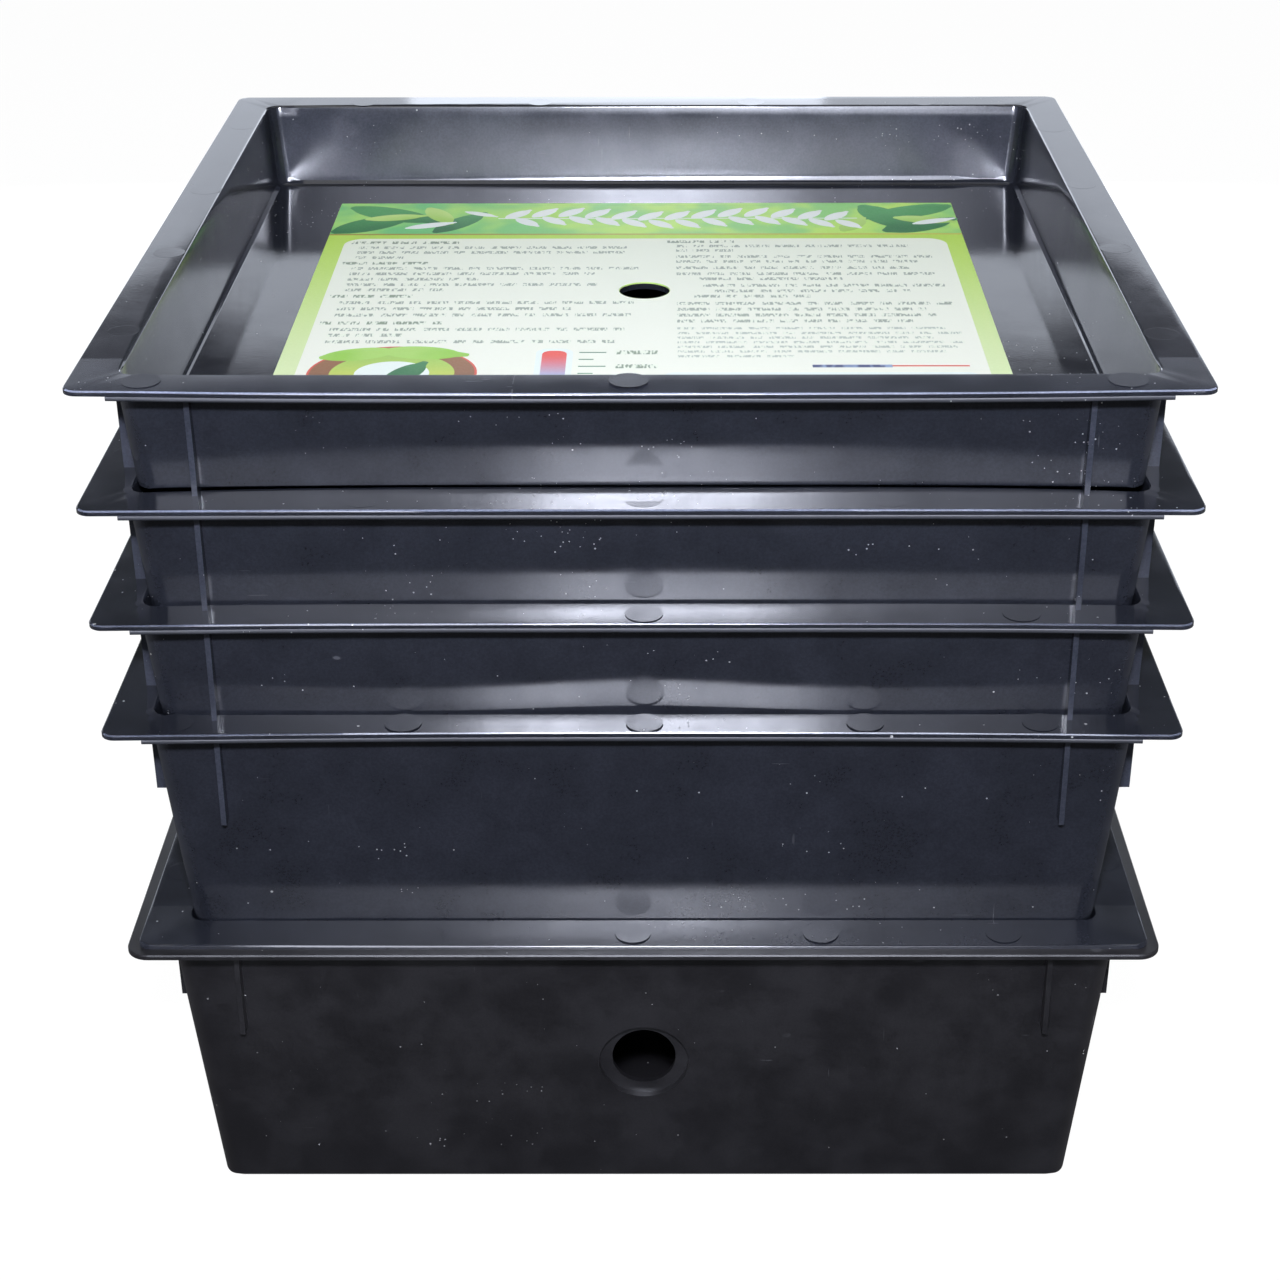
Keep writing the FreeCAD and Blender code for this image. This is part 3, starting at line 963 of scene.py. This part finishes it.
def greeked_lines():
    """Lines of word-length bars in two columns. Each line: y, share of the column's width, kind."""
    chance = random.Random(27)
    left, right = -136.0, 10.0
    left_width, right_width = 128, 118
    # Each row: x start, x end, y, height and kind.
    rows = []
    for y, share, kind in (
        (84, 0.42, "bold"), (76.5, 1.0, "words"), (69.5, 0.95, "words"), (62, 0.2, "words"),
        (54, 0.3, "bold"), (46.5, 1.0, "words"), (39, 0.88, "words"), (31.5, 0.45, "words"),
        (24, 0.86, "words"), (17, 0.34, "words"), (8.5, 0.28, "bold"), (0, 1.0, "words"),
        (-8, 0.78, "words"), (-16, 0.98, "words"), (-26, 0.4, "bold"), (-34, 0.96, "words"),
        (-41, 0.24, "words"), (-49, 0.93, "words"),
    ):
        indent = 0.0 if kind == "bold" else 5.0
        rows.append((left + indent, left + indent + left_width * share, y, LINE_HEIGHT, kind))
    for y, share, kind in (
        (85, 0.26, "bold"), (78.5, 0.9, "words"), (72, 0.22, "words"), (63, 0.98, "words"),
        (56, 0.96, "words"), (47, 0.88, "words"), (38.5, 0.97, "words"), (31.5, 0.62, "words"),
        (22.5, 1.0, "words"), (15, 0.86, "words"), (8, 0.5, "words"), (-1.5, 1.0, "words"),
        (-9, 0.9, "words"), (-16.5, 0.93, "words"), (-24, 0.84, "words"), (-33, 0.95, "small"),
        (-39, 1.0, "small"), (-44.5, 0.92, "small"), (-50, 1.0, "small"), (-55.5, 0.97, "small"),
        (-61, 0.94, "small"), (-66.5, 0.4, "small"), (-92, 0.8, "words"), (-100, 0.9, "words"),
        (-108, 0.7, "words"), (-116, 0.86, "words"),
    ):
        indent = 0.0 if kind == "bold" else 4.0
        height = SMALL_HEIGHT if kind == "small" else LINE_HEIGHT
        rows.append((right + indent, right + indent + right_width * share, y, height, kind))
    bars = {}
    for kind in ("words", "bold", "small"):
        bars[kind] = slab("word_" + kind, -0.5, 0.5, -0.5, 0.5, 0.0, 2, kind)
    pieces = []
    for start, end, y, height, kind in rows:
        x = start
        while x < end - SHORTEST_REST:
            length = min(chance.choice(WORD_LENGTHS), end - x)
            by_hole = -HOLE_CLEAR_X < x + length and x < HOLE_CLEAR_X
            over_hole = by_hole and abs(y - HOLE_MIDDLE_Y) < HOLE_CLEAR_Y
            if length > SHORTEST_WORD and not over_hole:
                place = ((x + length / 2.0) * MM, y * MM, 0.0)
                pieces.append(copied(bars[kind], "word", place, 0.0, (length, height, 1.0)))
            x += length + WORD_GAP
    for bar in bars.values():
        remove(bar)
    on_card(joined(pieces, "card_lines_print"))


def card_emblem():
    """Oval badge with four plain leaves, at the card's lower left."""

    def oval(name, radius, level, ink):
        bpy.ops.mesh.primitive_circle_add(vertices=56, radius=radius * MM, fill_type="NGON")
        disc = newest(name)
        disc.scale.y = BADGE_SQUASH
        disc.location = (BADGE_X * MM, BADGE_Y * MM, CARD_TOP + level * INK)
        return coat(settle(disc), PRINT[ink])

    pieces = [oval("badge_rim", 34.0, 2, "red"), oval("badge_ring", 33.0, 2.5, "bark")]
    pieces += [oval("badge_middle", 25.0, 3, "sun"), oval("badge_core", 15.0, 3.5, "white")]
    fresh, deep = leaf("fresh", "fresh_leaf"), leaf("deep", "deep_leaf")
    for kind, x, y, length, turn, level in (
        (fresh, -130, -68, 30, 16, 4.0),
        (fresh, -106, -60, 32, -8, 4.3),
        (deep, -101, -98, 26, 62, 4.6),
        (fresh, -99, -98, 24, 20, 4.9),
    ):
        pieces.append(set_leaf(kind, x, y, length, turn, level))
    remove(fresh)
    remove(deep)
    on_card(joined(pieces, "card_badge_print"))


def card_scale():
    """Plain warmth scale with tick marks, and the thin strip at the card's lower right."""
    pieces = [
        slab("scale_case", -43.5, -28.5, -116, -57.5, 5, 2, "white"),
        slab("scale_fill", -41, -31, -113.5, -60, 4, 3, "heat"),
        slab("strip_blue", 68, 100, -79.5, -76.5, 0.0, 2, "blue"),
        slab("strip_red", 100, 131, -78.6, -77, 0.0, 2, "red"),
        slab("box_fill", 8, 134, -124, -85, 5, 1.5, "white"),
    ]
    top_tick, tick_pitch = -62, 8
    for i in range(7):
        y = top_tick - i * tick_pitch
        length = 6 if i % 2 else 11
        pieces.append(slab("tick", -26, -26 + length, y - 0.5, y + 0.5, 0.0, 2, "deep_leaf"))
    for i in (0, 2, 4):
        y = top_tick - i * tick_pitch
        pieces.append(slab("tick_word", -11, 6, y - 2.2, y + 2.2, 0.0, 2, "bold"))
    on_card(joined(pieces, "card_scale_print"))


card_panel()
card_header()
greeked_lines()
card_emblem()
card_scale()


# Floor, world, lights and camera
def floor_material(name, tone, lift):
    """Matt surface that looks white to the camera but lights the object only by its own tone."""
    material = bpy.data.materials.new(name)
    material.use_nodes = True
    material.node_tree.nodes.clear()
    g = Graph(material.node_tree)
    matt = g.add("ShaderNodeBsdfDiffuse")
    matt.inputs["Color"].default_value = (tone, tone, tone, 1.0)
    glow = g.add("ShaderNodeEmission")
    seen = g.add("ShaderNodeLightPath").outputs["Is Camera Ray"]
    g.wire(g.math("MULTIPLY", seen, lift), glow.inputs["Strength"])
    both = g.add("ShaderNodeAddShader")
    g.wire(matt.outputs[0], both.inputs[0])
    g.wire(glow.outputs[0], both.inputs[1])
    g.wire(both.outputs[0], g.add("ShaderNodeOutputMaterial").inputs["Surface"])
    return material


FLOOR_SIZE = 12.0
bpy.ops.mesh.primitive_plane_add(size=FLOOR_SIZE, location=(0.0, 0.0, 0.0))
floor = coat(newest("floor"), floor_material("floor_white", tone=0.05, lift=0.97))

# The camera sees a white world, and the piece sees a dim one that is palest low down.
WHITE = (1.0, 1.0, 1.0)
LOW_TONE = (0.2, 0.21, 0.24)
MIDDLE_TONE = (0.08, 0.087, 0.085)
HIGH_TONE = (0.06, 0.065, 0.075)

world = bpy.data.worlds.new("studio")
bpy.context.scene.world = world
world.use_nodes = True
world.node_tree.nodes.clear()
g = Graph(world.node_tree)
seen = g.add("ShaderNodeLightPath").outputs["Is Camera Ray"]
upward = g.split(g.add("ShaderNodeTexCoord").outputs["Generated"])[2]
low_sky = g.mix(g.ramp(upward, low=0.335, high=0.39), LOW_TONE, MIDDLE_TONE)
dim = g.mix(g.ramp(upward, low=0.5, high=0.6), low_sky, HIGH_TONE)
background = g.add("ShaderNodeBackground")
g.wire(g.mix(seen, dim, WHITE), background.inputs["Color"])
g.wire(background.outputs[0], g.add("ShaderNodeOutputWorld").inputs["Surface"])


def soft_light(name, place, target, size, radiance, colour=WHITE, matt=True, shine=True):
    """Softbox of a given brightness, which the camera never sees. It can skip matt or shiny light.

    Places and the size, width and height, are in metres.
    """
    width, height = size
    data = bpy.data.lights.new(name, "AREA")
    data.shape = "RECTANGLE"
    data.size = width
    data.size_y = height
    data.color = colour
    data.energy = radiance * math.pi * width * height
    light = bpy.data.objects.new(name, data)
    bpy.context.scene.collection.objects.link(light)
    light.location = place
    light.rotation_euler = (Vector(target) - Vector(place)).to_track_quat("-Z", "Y").to_euler()
    light.visible_camera = False
    light.visible_diffuse = matt
    light.visible_glossy = shine


# The flash lights matt surfaces from above the lens, and its images in the gloss are lights apart.
FLASH = (0.93, 0.97, 1.13)
SKY = (0.92, 0.99, 1.12)
ABOVE_LENS = (0.0, -1.0, 0.82)
OBJECT_MIDDLE = (0.0, -0.15, 0.3)
soft_light("key_light", ABOVE_LENS, OBJECT_MIDDLE, (0.1, 0.055), 900.0, FLASH, shine=False)
for name, place, size, radiance in (
    ("low_glint", (0.0, -1.45, 0.665), (0.21, 0.13), 270.0),
    ("low_wide_glint", (0.0, -1.46, 0.4), (0.9, 0.18), 9.0),
    ("high_glint", (0.0, -1.45, 1.16), (0.22, 0.28), 110.0),
    ("high_tall_glint", (0.0, -1.46, 1.37), (0.24, 0.12), 70.0),
    ("front_box", (0.0, -1.5, 1.05), (0.8, 1.15), 12.0),
):
    soft_light(name, place, OBJECT_MIDDLE, size, radiance, FLASH, matt=False)
for name, place, size, radiance in (
    ("back_wall", (0.0, 1.0, 0.36), (2.6, 0.72), 1.35),
    ("back_glow", (-0.03, 0.99, 0.5), (0.34, 0.4), 1.7),
):
    soft_light(name, place, (0.0, 0.0, place[2]), size, radiance, SKY, matt=False)
soft_light("top_light", (0.0, 0.35, 2.3), (0.0, 0.0, 0.2), (1.8, 1.8), 1.5)

# Low lights that keep the sides and the back from going black, seen by matt surfaces only
FILL_HEIGHT = 0.16
for name, x, y in (("left_fill", -1.3, 0.1), ("right_fill", 1.3, 0.1), ("back_fill", 0.0, 1.3)):
    soft_light(name, (x, y, FILL_HEIGHT), (0.0, 0.0, FILL_HEIGHT), (0.9, 0.28), 30.0, shine=False)

camera_data = bpy.data.cameras.new("camera")
camera_data.lens = LENS
camera_data.sensor_width = SENSOR_WIDTH
camera_data.shift_x = SHIFT_X
camera_data.shift_y = SHIFT_Y
camera = bpy.data.objects.new("camera", camera_data)
bpy.context.scene.collection.objects.link(camera)
turn = (
    Matrix.Rotation(math.radians(CAMERA_YAW), 4, "Z")
    @ Matrix.Rotation(math.radians(90.0 - CAMERA_PITCH), 4, "X")
    @ Matrix.Rotation(math.radians(CAMERA_ROLL), 4, "Z")
)
camera.matrix_world = Matrix.Translation(CAMERA_AT) @ turn
bpy.context.scene.camera = camera
bpy.context.scene.view_settings.view_transform = "Standard"
